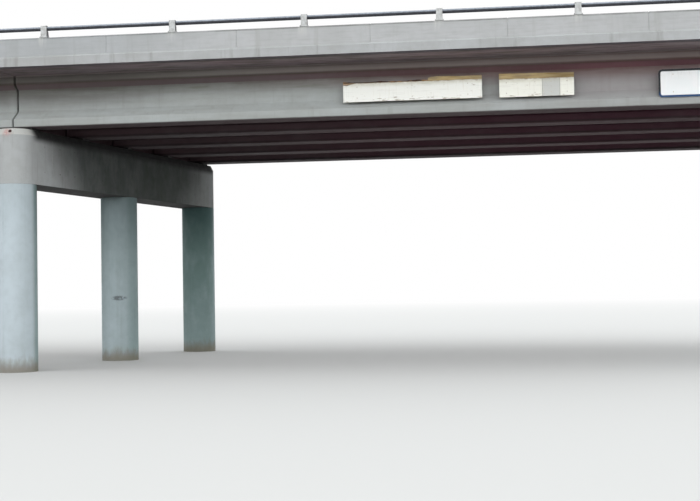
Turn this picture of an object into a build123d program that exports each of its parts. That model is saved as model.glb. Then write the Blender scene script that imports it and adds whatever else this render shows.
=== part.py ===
# Concrete highway overpass: two spans of precast I-girders on three column piers, with sign boards.
# X runs along the roadway above, Y across it (the sign boards face -Y) and Z up.
# The origin is on the ground under the middle pier. Millimetres.
import os
from math import cos, radians, sin, tan

from build123d import *

# Layout
span = 16600  # pier line to pier line, along the roadway
skew_angle = 13  # degrees that a pier stands off square to the roadway
joint_gap = 50  # opening between the spans over the middle pier

# Piers: three round columns under a cap with round ends
column_diameter = 914
column_height = 4130
cap_depth = 1220
cap_slope_run = 70  # the cap's top edge slopes inward by this much
cap_slope_rise = 140  # over this height
cap_past_girders = 370  # the cap's end stands this far outside the outer girder's flange

# Bearing pads
pad_length = 230
pad_width = 450
pad_thickness = 50
pad_setback = 75  # from the girder's end to the pad

# Precast I-girders
girder_count = 5
girder_pitch = 2057
girder_depth = 1143
bottom_flange_width = 559
bottom_flange_depth = 178
bottom_taper_depth = 191
web_thickness = 178
top_taper_depth = 114
top_flange_width = 406
top_flange_depth = 178
girder_chamfer = 19

# Diaphragms, the cross walls that tie the girders together
end_diaphragm_thickness = 250
end_diaphragm_setback = 100  # from the girder's end
mid_diaphragm_thickness = 200

# Deck slab, with a low haunch over each girder
haunch_depth = 25
slab_thickness = 216
deck_overhang = 940  # from the outer girder's bottom flange to the slab's edge
slab_ledge = 30  # the slab's edge stands this far outside the parapet, splayed on top
seal_depth = 90
seal_recess = 10

# Parapets
parapet_width = 330
parapet_height = 400
parapet_chamfer = 25

# Rail of oval tube on cast posts
rail_height = 203  # the tube's centre above the parapet
rail_setback = 100  # the tube's centre behind the parapet's outer face
rail_tube_height = 90
rail_tube_depth = 75
rail_tube_wall = 5
rail_seat_clearance = 0.3
post_bays = 5
post_from_joint = 1250
post_width = 132
post_setback = 30  # the post's outer face behind the parapet's
post_cap = 15  # thickness of the lip over the tube
post_foot_depth = 160
post_shelf_depth = 120
post_shelf_rise = 11  # the shelf starts this far above the tube's underside and ends as far below it
post_base_thickness = 18
post_base_margin = 25  # the base plate stands out this far round the post

# Sign boards, hung in front of the outer girder of the right span
board_standoff = 20  # from the bottom flange's face to the back of a board
wide_board_start = 7400  # from the joint over the middle pier, along the girder
wide_board_length = 2960
wide_board_height = 405
wide_board_rise = 292  # the board's lower edge above the girder's underside
height_board_start = 10720
height_panel_lengths = (896, 364, 290)
height_panel_gap = 4
height_board_height = 389
height_board_rise = 281
guide_board_start = 14005
guide_board_length = 1830
guide_board_height = 590
guide_board_rise = 163
timber_board_thickness = 19
guide_board_thickness = 6

# Bare backing planks behind the timber boards, which show above them
backing_thickness = 38
wide_backing_length = 1140  # ends flush with the board
wide_backing_show = 90  # the plank rises this far above the board
height_backing_show = 120

# Brackets that hold the boards off the girder's web
bracket_bar_width = 60
bracket_bar_thickness = 10
bracket_bar_margin = 40  # the board reaches past the bar at top and bottom
bracket_arm_height = 80
bracket_arm_width = 50
bracket_arm_rise = 530
bracket_foot_size = 140
bracket_foot_thickness = 10
bracket_edge_distance = 300  # from a long board's end to its first bracket
panel_edge_distance = 150  # the same on the height board's first panel

# Levels above the ground
cap_top = column_height + cap_depth
girder_soffit = cap_top + pad_thickness
girder_top = girder_soffit + girder_depth
slab_soffit = girder_top + haunch_depth
deck_level = slab_soffit + slab_thickness
parapet_top = deck_level + parapet_height
rail_level = parapet_top + rail_height

# Distances across the roadway
girder_offsets = [(i - (girder_count - 1) / 2) * girder_pitch for i in range(girder_count)]
girder_reach = girder_offsets[-1] + bottom_flange_width / 2
slab_reach = girder_reach + deck_overhang
parapet_outside = slab_reach - slab_ledge
parapet_inside = parapet_outside - parapet_width
rail_offset = parapet_outside - rail_setback
pier_reach = girder_reach + cap_past_girders

# The skew moves a pier line this far along the roadway for each millimetre across it
skew = radians(skew_angle)
skew_slope = tan(skew)
column_pitch = (pier_reach - column_diameter / 2) / cos(skew)

half_gap = joint_gap / 2
pad_centre = half_gap + pad_setback + pad_length / 2
post_pitch = (span - 2 * post_from_joint) / post_bays
web_face = web_thickness / 2
web_foot = bottom_flange_depth + bottom_taper_depth
web_head = girder_depth - top_flange_depth - top_taper_depth

piers = {"left": -span, "middle": 0, "right": span}
spans = {"left": -span, "right": 0}
sides = {"near": -1, "far": 1}

os.makedirs("parts", exist_ok=True)


def save(builder, name):
    builder.part.label = name
    export_step(builder.part, f"parts/{name}.step")


def pier_plane(x):
    """Upright plane through the pier line that crosses the roadway's middle at x, facing +X."""
    return Plane(origin=(x, 0, 0), x_dir=(sin(skew), cos(skew), 0), z_dir=(cos(skew), -sin(skew), 0))


def cross_plane(x, y=0.0, z=0.0):
    """Upright plane square to the roadway: local x is across it and local y is up."""
    return Plane(origin=(x, y, z), x_dir=(0, 1, 0), z_dir=(1, 0, 0))


def trim_start(x):
    split(bisect_by=pier_plane(x), keep=Keep.TOP)


def trim_end(x):
    split(bisect_by=pier_plane(x), keep=Keep.BOTTOM)


# A bar that is trimmed on the skew is first made longer by this much at each end
skew_allowance = skew_slope * (slab_reach + slab_ledge) + joint_gap


def pier_points(pier_x, along):
    return [(pier_x + distance * sin(skew), distance * cos(skew)) for distance in along]


# Round columns, cast on the ground and flush with the cap's ends
column_names = ("near", "centre", "far")
for pier, pier_x in piers.items():
    places = pier_points(pier_x, (-column_pitch, 0, column_pitch))
    for column_name, place in zip(column_names, places):
        with BuildPart() as column:
            with BuildSketch() as footprint:
                with Locations(place):
                    Circle(column_diameter / 2)
            extrude(amount=column_height)
        save(column, f"{pier}_pier_column_{column_name}")

# Pier caps: as wide as the columns, with half-round ends and a top edge that slopes inward
for pier, pier_x in piers.items():
    cap_plane = Plane(origin=(pier_x, 0, column_height), x_dir=(sin(skew), cos(skew), 0), z_dir=(0, 0, 1))
    with BuildPart() as cap:
        with BuildSketch(cap_plane) as outline:
            SlotCenterToCenter(2 * column_pitch, column_diameter)
        extrude(amount=cap_depth)
        top_face = cap.faces().sort_by(Axis.Z)[-1]
        chamfer(top_face.edges(), cap_slope_run, cap_slope_rise, reference=top_face)
    save(cap, f"{pier}_pier_cap")

# Rubber pads, one under each girder end. Those outside the end piers wait for the next spans.
for pier, pier_x in piers.items():
    pad_places = []
    for y in girder_offsets:
        for side in (-1, 1):
            pad_places.append((pier_x + skew_slope * y + side * pad_centre, y))
    with BuildPart() as pads:
        with BuildSketch(Plane.XY.offset(cap_top)) as footprint:
            with Locations(*pad_places):
                Rectangle(pad_length, pad_width)
        extrude(amount=pad_thickness)
    save(pads, f"{pier}_pier_bearing_pads")

# Half of the girder's section, from its underside up to its top
girder_outline = [
    (0, 0),
    (bottom_flange_width / 2 - girder_chamfer, 0),
    (bottom_flange_width / 2, girder_chamfer),
    (bottom_flange_width / 2, bottom_flange_depth),
    (web_face, web_foot),
    (web_face, web_head),
    (top_flange_width / 2, girder_depth - top_flange_depth),
    (top_flange_width / 2, girder_depth),
    (0, girder_depth),
]

# Precast girders, numbered from the side with the sign boards
for span_name, start in spans.items():
    for number, y in enumerate(girder_offsets, 1):
        with BuildPart() as girder:
            with BuildSketch(cross_plane(start - skew_allowance, y, girder_soffit)) as section:
                with BuildLine() as outline:
                    half_outline = Polyline(*girder_outline)
                    mirror(half_outline, about=Plane.YZ)
                make_face()
            extrude(amount=span + 2 * skew_allowance)
            trim_start(start + half_gap)
            trim_end(start + span - half_gap)
        save(girder, f"{span_name}_span_girder_{number}")


def diaphragm_row(middle_x, thickness):
    """One cross wall in each bay, along the pier's direction, filling between the webs."""
    with BuildPart() as row:
        for left, right in zip(girder_offsets, girder_offsets[1:]):
            bay = right - left
            flange = top_flange_width / 2
            shoulder = girder_depth - top_flange_depth
            top = girder_depth + haunch_depth
            with BuildSketch(cross_plane(middle_x - skew_allowance - thickness, left, girder_soffit)) as wall:
                with BuildLine() as outline:
                    Polyline(
                        (web_face, web_foot),
                        (web_face, web_head),
                        (flange, shoulder),
                        (flange, top),
                        (bay - flange, top),
                        (bay - flange, shoulder),
                        (bay - web_face, web_head),
                        (bay - web_face, web_foot),
                        close=True,
                    )
                make_face()
            extrude(amount=2 * (skew_allowance + thickness))
        trim_start(middle_x - thickness / 2)
        trim_end(middle_x + thickness / 2)
    return row.part


# Diaphragms at both ends and the middle of each span
end_diaphragm_centre = half_gap + end_diaphragm_setback + end_diaphragm_thickness / 2
for span_name, start in spans.items():
    first_row = diaphragm_row(start + end_diaphragm_centre, end_diaphragm_thickness)
    middle_row = diaphragm_row(start + span / 2, mid_diaphragm_thickness)
    last_row = diaphragm_row(start + span - end_diaphragm_centre, end_diaphragm_thickness)
    with BuildPart() as diaphragms:
        add([first_row, middle_row, last_row])
    save(diaphragms, f"{span_name}_span_diaphragms")

# Deck slabs, cast over the girders
for span_name, start in spans.items():
    with BuildPart() as slab:
        with BuildSketch(cross_plane(start - skew_allowance)) as section:
            with BuildLine() as outline:
                Polyline(
                    (-slab_reach, slab_soffit),
                    (-slab_reach, deck_level - slab_ledge),
                    (-parapet_outside, deck_level),
                    (parapet_outside, deck_level),
                    (slab_reach, deck_level - slab_ledge),
                    (slab_reach, slab_soffit),
                    close=True,
                )
            make_face()
            with Locations(*[(y, slab_soffit - haunch_depth / 2) for y in girder_offsets]):
                Rectangle(top_flange_width, haunch_depth)
        extrude(amount=span + 2 * skew_allowance)
        trim_start(start + half_gap)
        trim_end(start + span - half_gap)
    save(slab, f"{span_name}_span_deck_slab")

# Rubber seal in the joint over the middle pier
with BuildPart() as seal:
    with BuildSketch(cross_plane(-skew_allowance)) as section:
        with Locations((0, deck_level - seal_recess - seal_depth / 2)):
            Rectangle(2 * parapet_outside, seal_depth)
    extrude(amount=2 * skew_allowance)
    trim_start(-half_gap)
    trim_end(half_gap)
save(seal, "middle_joint_seal")

# Parapets, cast on the slab's edges
for span_name, start in spans.items():
    for side_name, side in sides.items():
        with BuildPart() as parapet:
            with BuildSketch(cross_plane(start - skew_allowance, 0, deck_level)) as section:
                with BuildLine() as outline:
                    Polyline(
                        (side * parapet_outside, 0),
                        (side * parapet_outside, parapet_height - parapet_chamfer),
                        (side * (parapet_outside - parapet_chamfer), parapet_height),
                        (side * (parapet_inside + parapet_chamfer), parapet_height),
                        (side * parapet_inside, parapet_height - parapet_chamfer),
                        (side * parapet_inside, 0),
                        close=True,
                    )
                make_face()
            extrude(amount=span + 2 * skew_allowance)
            trim_start(start + half_gap)
            trim_end(start + span - half_gap)
        save(parapet, f"{span_name}_span_parapet_{side_name}")

# Cast rail posts: a foot plate and a web with a seat for the tube. Local x runs inward from the outer face.
post_top = rail_height + rail_tube_height / 2 + post_cap
shelf_level = rail_height - rail_tube_height / 2
rail_in_post = rail_setback - post_setback
post_places = [post_from_joint + i * post_pitch for i in range(post_bays + 1)]
for side_name, side in sides.items():
    outer_face = side * (parapet_outside - post_setback)
    inward = Vector(0, -side, 0)
    line_shift = skew_slope * side * rail_offset
    with BuildPart() as posts:
        for start in spans.values():
            for place in post_places:
                x = start + line_shift + place
                face_x = x + side * post_width / 2
                post_plane = Plane(origin=(face_x, outer_face, parapet_top), x_dir=inward, z_dir=(-side, 0, 0))
                with BuildSketch(post_plane) as profile:
                    with BuildLine() as outline:
                        Polyline(
                            (0, 0),
                            (0, post_top),
                            (rail_in_post, post_top),
                            (rail_in_post, shelf_level + post_shelf_rise),
                            (post_shelf_depth, shelf_level - post_shelf_rise),
                            (post_foot_depth, 0),
                            close=True,
                        )
                    make_face()
                    with Locations((rail_in_post, rail_height)):
                        Ellipse(
                            rail_tube_depth / 2 + rail_seat_clearance,
                            rail_tube_height / 2 + rail_seat_clearance,
                            mode=Mode.SUBTRACT,
                        )
                extrude(amount=post_width)
                foot_y = outer_face - side * post_foot_depth / 2
                with BuildSketch(Plane.XY.offset(parapet_top)) as foot_plate:
                    with Locations((x, foot_y)):
                        Rectangle(
                            post_width + 2 * post_base_margin,
                            post_foot_depth + 2 * post_base_margin,
                        )
                extrude(amount=post_base_thickness)
    save(posts, f"{side_name}_rail_posts")

# Rail tubes, whole from end to end
rail_length = 2 * span - joint_gap
for side_name, side in sides.items():
    rail_middle = skew_slope * side * rail_offset
    rail_start = rail_middle - rail_length / 2
    with BuildPart() as rail:
        with BuildSketch(cross_plane(rail_start, side * rail_offset, rail_level)) as section:
            Ellipse(rail_tube_depth / 2, rail_tube_height / 2)
            Ellipse(
                rail_tube_depth / 2 - rail_tube_wall,
                rail_tube_height / 2 - rail_tube_wall,
                mode=Mode.SUBTRACT,
            )
        extrude(amount=rail_length)
    save(rail, f"{side_name}_rail")

# Sign boards stand in one plane, in front of the outer girder's flange
board_back = -(girder_reach + board_standoff)
board_zero = -skew_slope * girder_reach  # the joint's place at the outer girder's face


def board(start, length, rise, height, thickness):
    """One board, its back on the boards' plane."""
    board_plane = Plane(origin=(0, board_back, girder_soffit), x_dir=(1, 0, 0), z_dir=(0, -1, 0))
    with BuildPart() as panel:
        with BuildSketch(board_plane):
            with Locations((board_zero + start + length / 2, rise + height / 2)):
                Rectangle(length, height)
        extrude(amount=thickness)
    return panel.part


wide_panel = board(
    wide_board_start, wide_board_length, wide_board_rise, wide_board_height, timber_board_thickness
)
with BuildPart() as wide_board:
    add(wide_panel)
save(wide_board, "wide_sign_board")

# The height board is three panels side by side
panel_starts = []
panel_start = height_board_start
for panel_length in height_panel_lengths:
    panel_starts.append(panel_start)
    panel_start += panel_length + height_panel_gap
height_panels = [
    board(start, length, height_board_rise, height_board_height, timber_board_thickness)
    for start, length in zip(panel_starts, height_panel_lengths)
]
with BuildPart() as height_board:
    add(height_panels)
save(height_board, "height_sign_board")


def backing(start, length, board_rise, board_height, show):
    """A plank on the backs of the boards, from the tops of the bracket bars up past the boards' edge."""
    back_plane = Plane(origin=(0, board_back, girder_soffit), x_dir=(-1, 0, 0), z_dir=(0, 1, 0))
    height = bracket_bar_margin + show
    foot = board_rise + board_height - bracket_bar_margin
    with BuildPart() as plank:
        with BuildSketch(back_plane):
            with Locations((-(board_zero + start + length / 2), foot + height / 2)):
                Rectangle(length, height)
        extrude(amount=backing_thickness)
    return plank.part


wide_plank = backing(
    wide_board_start + wide_board_length - wide_backing_length,
    wide_backing_length,
    wide_board_rise,
    wide_board_height,
    wide_backing_show,
)
with BuildPart() as wide_backing:
    add(wide_plank)
save(wide_backing, "wide_sign_backing_plank")

height_board_length = panel_start - height_panel_gap - height_board_start
height_plank = backing(
    height_board_start, height_board_length, height_board_rise, height_board_height, height_backing_show
)
with BuildPart() as height_backing:
    add(height_plank)
save(height_backing, "height_sign_backing_plank")

guide_panel = board(
    guide_board_start, guide_board_length, guide_board_rise, guide_board_height, guide_board_thickness
)
with BuildPart() as guide_board:
    add(guide_panel)
save(guide_board, "guide_sign_board")


def bracket(along, rise, height):
    """One bracket: foot on the web, arm, and upright bar behind the board."""
    web_y = girder_offsets[0] - web_face
    bar_back = board_back + bracket_bar_thickness
    foot_front = web_y - bracket_foot_thickness
    x = board_zero + along
    arm_z = girder_soffit + bracket_arm_rise
    bar_z = girder_soffit + rise + height / 2
    with BuildPart() as piece:
        with BuildSketch(Plane.XZ.offset(-bar_back)) as bar:
            with Locations((x, bar_z)):
                Rectangle(bracket_bar_width, height - 2 * bracket_bar_margin)
        extrude(amount=bracket_bar_thickness)
        with BuildSketch(Plane.XZ.offset(-foot_front)) as arm:
            with Locations((x, arm_z)):
                Rectangle(bracket_arm_width, bracket_arm_height)
        extrude(amount=foot_front - bar_back)
        with BuildSketch(Plane.XZ.offset(-web_y)) as foot:
            with Locations((x, arm_z)):
                Rectangle(bracket_foot_size, bracket_foot_size)
        extrude(amount=bracket_foot_thickness)
    return piece.part


# Brackets: three behind each long board, two behind the first height panel and one behind the others
wide_board_end = wide_board_start + wide_board_length
guide_board_end = guide_board_start + guide_board_length
first_panel_end = panel_starts[0] + height_panel_lengths[0]
wide_board_places = (
    wide_board_start + bracket_edge_distance,
    (wide_board_start + wide_board_end) / 2,
    wide_board_end - bracket_edge_distance,
)
height_board_places = (
    panel_starts[0] + panel_edge_distance,
    first_panel_end - panel_edge_distance,
    panel_starts[1] + height_panel_lengths[1] / 2,
    panel_starts[2] + height_panel_lengths[2] / 2,
)
guide_board_places = (
    guide_board_start + bracket_edge_distance,
    (guide_board_start + guide_board_end) / 2,
    guide_board_end - bracket_edge_distance,
)
bracket_pieces = [bracket(along, wide_board_rise, wide_board_height) for along in wide_board_places]
for along in height_board_places:
    bracket_pieces.append(bracket(along, height_board_rise, height_board_height))
for along in guide_board_places:
    bracket_pieces.append(bracket(along, guide_board_rise, guide_board_height))
with BuildPart() as brackets:
    add(bracket_pieces)
save(brackets, "sign_brackets")
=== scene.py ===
import math
import random

import bmesh
import bpy
from mathutils import Euler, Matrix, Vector


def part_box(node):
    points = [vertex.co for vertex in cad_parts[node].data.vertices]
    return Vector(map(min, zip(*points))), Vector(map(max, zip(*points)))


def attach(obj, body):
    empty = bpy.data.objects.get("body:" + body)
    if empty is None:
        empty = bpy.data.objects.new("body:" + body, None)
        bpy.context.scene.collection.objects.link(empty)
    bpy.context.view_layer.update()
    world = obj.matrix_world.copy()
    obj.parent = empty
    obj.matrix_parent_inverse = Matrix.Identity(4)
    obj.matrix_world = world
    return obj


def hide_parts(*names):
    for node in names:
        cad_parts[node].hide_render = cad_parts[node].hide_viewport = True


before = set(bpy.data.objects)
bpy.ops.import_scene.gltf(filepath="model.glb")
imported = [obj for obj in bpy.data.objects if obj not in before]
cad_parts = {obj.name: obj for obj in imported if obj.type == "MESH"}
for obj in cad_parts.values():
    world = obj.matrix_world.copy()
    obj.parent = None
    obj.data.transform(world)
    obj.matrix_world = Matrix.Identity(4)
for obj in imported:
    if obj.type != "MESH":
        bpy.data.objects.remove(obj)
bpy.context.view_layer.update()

# Round columns, three under each pier. Each is cast in a steel form of two half
# shells, which leaves a thin fin down both sides and a ring where the lifts met.
# They carry a pale bluish finishing coat, splashed with soil at the foot.

PIERS = ("left", "middle", "right")
SKEW = math.radians(13)  # the piers stand this far off square to the deck
SKEW_SLOPE = math.tan(SKEW)


def skin(body, rings, hollow=False):
    """Faces from ring to ring, each a closed row of points. The ends are covered, or joined if hollow."""
    loops = [[body.verts.new(point) for point in ring] for ring in rings]
    if hollow:
        loops.append(loops[0])
    for lower, upper in zip(loops, loops[1:]):
        for i in range(len(lower)):
            j = (i + 1) % len(lower)
            body.faces.new((lower[i], lower[j], upper[j], upper[i]))
    if not hollow:
        body.faces.new(list(reversed(loops[0])))
        body.faces.new(loops[-1])


def cast(name, body, finish, slot, *nodes, arris=0.0, smooth_below=38):
    """Makes a piece of what has been shaped, with its arrises rounded by that radius. It
    gets its finish and its place in the frame, where it stands for these nodes."""
    bmesh.ops.recalc_face_normals(body, faces=body.faces)
    mesh = bpy.data.meshes.new(name)
    body.to_mesh(mesh)
    body.free()
    mesh.shade_smooth()
    mesh.set_sharp_from_angle(angle=math.radians(smooth_below))
    mesh.materials.append(finish)
    piece = bpy.data.objects.new(name, mesh)
    bpy.context.scene.collection.objects.link(piece)
    if arris:
        rounding = piece.modifiers.new("rounded arris", "BEVEL")
        rounding.width = arris
        rounding.segments = 2
        rounding.limit_method = "ANGLE"
        rounding.angle_limit = math.radians(40)
    shading = piece.modifiers.new("even shading", "WEIGHTED_NORMAL")
    shading.keep_sharp = True
    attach(piece, "root")
    if nodes:
        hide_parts(*nodes)


class Field:
    """What a node gives at each point of a surface. Sums of fields place the nodes that work them out."""

    def __init__(self, output):
        self.output = output

    def __add__(self, other):
        return worked_out("ADD", self, other)

    def __sub__(self, other):
        return worked_out("SUBTRACT", self, other)

    def __rsub__(self, other):
        return worked_out("SUBTRACT", other, self)

    def __mul__(self, other):
        return worked_out("MULTIPLY", self, other)

    def __truediv__(self, other):
        return worked_out("DIVIDE", self, other)

    def __abs__(self):
        return worked_out("ABSOLUTE", self)


def tone(red, green, blue):
    """A colour as it is seen on a screen, 0 to 255, turned into the light that a shader works in."""
    return tuple(((c / 255 + 0.055) / 1.055) ** 2.4 for c in (red, green, blue)) + (1.0,)


# All that follows works in the tree at hand, which new_finish or effect has opened last
def feed(socket, value):
    """Gives an input its value, or the field that feeds it. Three numbers in a colour's input are a tone."""
    if isinstance(value, Field):
        tree.links.new(value.output, socket)
    elif socket.type == "RGBA" and len(value) == 3:
        socket.default_value = tone(*value)
    else:
        socket.default_value = value


def fields_of(node):
    """A node's outputs, by number and by name."""
    fields = {}
    for number, output in enumerate(node.outputs):
        fields[number] = fields[output.name] = Field(output)
    return fields


def put(kind, sockets, **settings):
    """Places a node, with its settings and with what each of its inputs is fed."""
    made = tree.nodes.new("ShaderNode" + kind)
    for setting, value in settings.items():
        setattr(made, setting, value)
    for label, value in sockets.items():
        feed(made.inputs[label], value)
    return fields_of(made)


def worked_out(operation, *values):
    return put("Math", dict(enumerate(values)), operation=operation)[0]


def larger(value, *others):
    for other in others:
        value = worked_out("MAXIMUM", value, other)
    return value


def stained(colour, *stains):
    """Lays stains on a colour in turn. Each is its mask, and what shows where the mask is 1."""
    for mask, over in stains:
        colour = put("Mix", {0: mask, 6: colour, 7: over}, data_type="RGBA")[2]
    return colour


def step(value, low, high, bottom=0, top=1):
    """A soft step from bottom to top while the value goes from low to high."""
    ends = {0: value, 1: low, 2: high, 3: bottom, 4: top}
    return put("MapRange", ends, interpolation_type="SMOOTHSTEP")[0]


def clouds(place, size, detail=4, stretch=(1, 1, 1)):
    """Uneven patches of about this size in metres, longer along a direction that has a larger stretch."""
    spread = put("Mapping", {"Vector": place, "Scale": [1 / (size * s) for s in stretch]})[0]
    return put("TexNoise", {"Vector": spread, "Scale": 1, "Detail": detail, "Roughness": 0.6})[0]


def own_place():
    """The point on the overpass, in metres, and its parts along, across and up."""
    place = put("TexCoord", {})["Object"]
    parts = put("SeparateXYZ", {0: place})
    return place, parts[0], parts[1], parts[2]


def facing():
    """The direction that the face looks in: along, across and up."""
    return put("SeparateXYZ", {0: put("NewGeometry", {})["Normal"]})


def spot(place, centre, radius, edge):
    """1 inside a ball round a point of the overpass, fading out over the edge's share of its radius."""
    gap = put("VectorMath", {0: place, 1: centre}, operation="DISTANCE")["Value"]
    return step(gap, radius * (1 - edge), radius, 1, 0)


def effect(name, takes, gives=("Color", "Roughness", "Height")):
    """Opens a node group. Takes names its inputs with their usual values, and gives its outputs."""
    global tree
    tree = group = bpy.data.node_groups.new(name, "ShaderNodeTree")
    kinds = {True: "NodeSocketColor", False: "NodeSocketFloat"}
    for label, value in takes.items():
        is_tone = isinstance(value, tuple)
        socket = group.interface.new_socket(label, in_out="INPUT", socket_type=kinds[is_tone])
        socket.default_value = tone(*value) if is_tone else value
    for label in gives:
        group.interface.new_socket(label, in_out="OUTPUT", socket_type=kinds[label == "Color"])
    group.nodes.new("NodeGroupOutput")
    return group, fields_of(group.nodes.new("NodeGroupInput"))


def hand_out(**results):
    """Feeds the outputs of the effect at hand."""
    for label, value in results.items():
        feed(tree.nodes["Group Output"].inputs[label], value)


def use(group, **values):
    """Places an effect, with its own values. An underscore stands for a space."""
    return put("Group", {label.replace("_", " "): value for label, value in values.items()}, node_tree=group)


def new_finish(name):
    global tree
    material = bpy.data.materials.new(name)
    material.use_nodes = True
    tree = material.node_tree
    return material


def lay_on(colour, roughness, height, depth, metallic=0.0):
    """Feeds the finish's own shader. Height is in shares of the depth, which is in metres."""
    relief = put("Bump", {"Height": height, "Distance": depth, "Strength": 0.6})[0]
    feeds = {"Base Color": colour, "Roughness": roughness, "Metallic": metallic, "Normal": relief}
    for label, value in feeds.items():
        feed(tree.nodes["Principled BSDF"].inputs[label], value)


def lay_face(face, depth, *stains, metallic=0.0):
    """Lays an effect on the finish, with stains on its colour."""
    lay_on(stained(face["Color"], *stains), face["Roughness"], face["Height"], depth, metallic)


# Cast concrete: cloudy tone, runs left by rain, and pinholes from trapped air
cast_face, taken = effect("cast concrete face", {
    "Tone": (178, 180, 178), "Damp Tone": (140, 138, 130), "Run Tone": (95, 92, 84),
    "Mottle": 0.5, "Runs": 0.3, "Pinholes": 0.5})
place = own_place()[0]
broad = step(clouds(place, 1.3, 6), 0.34, 0.68)
patches = clouds(place, 0.16, 5)
grain = clouds(place, 0.012, 3)
runs = step(clouds(place, 0.17, 5, (1, 1, 16)), 0.52, 0.74)
cells = put("TexVoronoi", {"Vector": place, "Scale": 34})["Distance"]
airy = step(clouds(place, 0.45, 2), 0.5, 0.62)
holes = step(cells, 0.12, 0.2, 1, 0) * airy * taken["Pinholes"]
dusky = step(patches, 0.4, 0.75) * taken["Mottle"] * 0.5
colour = stained(taken["Tone"], (broad * taken["Mottle"], taken["Damp Tone"]), (dusky, taken["Damp Tone"]),
                 (runs * taken["Runs"], taken["Run Tone"]), (holes * 0.7, (70, 68, 64)))
hand_out(Color=colour, Roughness=step(patches, 0.3, 0.7, 0.8, 0.95),
         Height=grain * 0.4 + patches * 0.5 - holes)

# Splashed soil: dirt that rain throws up from the ground, thickest at the foot
splash, taken = effect("splashed soil", {"Top": 0.5, "Amount": 0.8}, ("Mask",))
place, along, across, up = own_place()
lowness = up / (clouds(place, 0.12, 5, (1, 1, 2.5)) * taken["Top"] + 0.02)
hand_out(Mask=step(lowness, 0.1, 1.1, 1, 0) * taken["Amount"])

column_coat = new_finish("column coat")
place, along, across, up = own_place()
looks = facing()
face = use(cast_face, Tone=(193, 204, 210), Damp_Tone=(170, 180, 183), Run_Tone=(136, 140, 136),
           Mottle=0.5, Runs=0.2, Pinholes=0.3)
inward = step(across * looks[1], 2.5, -2.1)  # painted shade on the faces turned in under the deck
patchy = step(clouds(place, 0.4, 5, (1, 1, 2)), 0.2, 0.6, 0.75, 1)
# Painted shade, patchy, on the inward faces and on the faces turned toward the span
inward_painted_shade = inward * patchy * step(up, 0.6, 2.6, 0.72, 0.9)
spanward_painted_shade = step(looks[0], 0.15, 0.95) * step(inward, 0, 0.5, 0.08, 0.6)
below_cap = step(up, 3.3, 3.5) * step(across, 3.5, 4) * 0.3
# Painted shade darkening the column towards the cap, most on its inward faces
painted_shade_near_cap = step(up, 2.3, 4.3) * larger(inward, 0.12) * 0.8
SMUDGE_LEVEL, SMUDGE_WIDENING = 1.58, 3.2  # on the middle pier's centre column, wider than it is high
flattened = put("Mapping", {"Vector": place, "Scale": (1, 1, SMUDGE_WIDENING)})[0]
smudge = spot(flattened, (0.118, -0.441, SMUDGE_LEVEL * SMUDGE_WIDENING), 0.24, 0.5)
smudge = smudge * step(clouds(place, 0.06, 5, (1.5, 1.5, 1)), 0.34, 0.5)
soil = use(splash, Top=0.7, Amount=0.75)["Mask"]
lay_face(face, 0.002, (larger(inward_painted_shade, spanward_painted_shade), (96, 124, 118)), (larger(painted_shade_near_cap, below_cap), (50, 78, 77)),
         (smudge * 0.75, (84, 88, 90)), (soil, (118, 106, 86)))

FORM_FIN, FIN_WIDTH = 0.003, 0.007  # how far a fin or ring stands out of the concrete
LIFT_HEIGHT = 2.44  # the lower lift of the column form
RING_SPREAD, COLUMN_STEPS = 0.006, 96
SEAMS = (0.5 * math.pi - SKEW, 1.5 * math.pi - SKEW)


def around(centre, radius):
    """Points of a circle with a thin fin at each seam. The rings of one column all match."""
    turns = [(2 * math.pi * i / COLUMN_STEPS, 0.0) for i in range(COLUMN_STEPS)]
    half = FIN_WIDTH / radius / 2
    for fin in SEAMS:
        turns = [t for t in turns if abs(t[0] - fin) > 2 * half]
        turns += [(fin - half, 0.0), (fin, FORM_FIN), (fin + half, 0.0)]
    turns.sort()
    return [(centre.x + (radius + out) * math.cos(a), centre.y + (radius + out) * math.sin(a))
            for a, out in turns]


for pier in PIERS:
    for column in ("near", "centre", "far"):
        node = f"{pier}_pier_column_{column}"
        low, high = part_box(node)
        centre, radius = (low + high) / 2, (high.x - low.x) / 2
        levels = [(low.z, 0.0), (LIFT_HEIGHT - RING_SPREAD, 0.0), (LIFT_HEIGHT, FORM_FIN),
                  (LIFT_HEIGHT + RING_SPREAD, 0.0), (high.z - 0.005, 0.0), (high.z, -0.003)]
        body = bmesh.new()
        skin(body, [[(x, y, level) for x, y in around(centre, radius + out)] for level, out in levels])
        cast(f"{node}_cast", body, column_coat, "pier_concrete", node, smooth_below=15)

# Pier caps, cast over the columns and as wide as they are, with half-round ends.
# The side forms are panels, which leave a fin at each joint and rows of plugged
# tie holes. The top edge slopes inward, and rain drips on it from the deck joint.

cap_low, cap_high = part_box("middle_pier_cap")
column_low, column_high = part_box("middle_pier_column_near")
CAP_RADIUS = (column_high.x - column_low.x) / 2
CAP_HALF = ((cap_high.y - cap_low.y) / 2 - CAP_RADIUS) / math.cos(SKEW)  # middle to the centre of an end
CAP_SLOPE_RUN, CAP_SLOPE_RISE = 0.07, 0.14
PANEL_LENGTH, PLUG_PITCH = 1.22, 0.61
PLUG_FROM_FOOT, PLUG_FROM_TOP = 0.3, 0.35  # the two rows on each side of a cap
FIN_FOOT = 0.004  # half the width of a fin where it joins the face


def open_end(along, looks):
    """1 on the faces that look out past the two ends of the overpass, where rain and light reach."""
    return step(along * looks[0], 4, 12)


# Worn edges: where the arris of a hard piece has chipped and rubbed bare
worn_edge, taken = effect("worn edge", {"Reach": 0.012, "Amount": 0.6}, ("Mask",))
place = own_place()[0]
true_face = put("NewGeometry", {})["Normal"]
rounded_face = put("Bevel", {"Radius": taken["Reach"]}, samples=4)[0]
turn = put("VectorMath", {0: true_face, 1: rounded_face}, operation="DOT_PRODUCT")["Value"]
broken = step(clouds(place, 0.09), 0.4, 0.6)
hand_out(Mask=step(turn, 0.8, 0.99, 1, 0) * broken * taken["Amount"])

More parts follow.
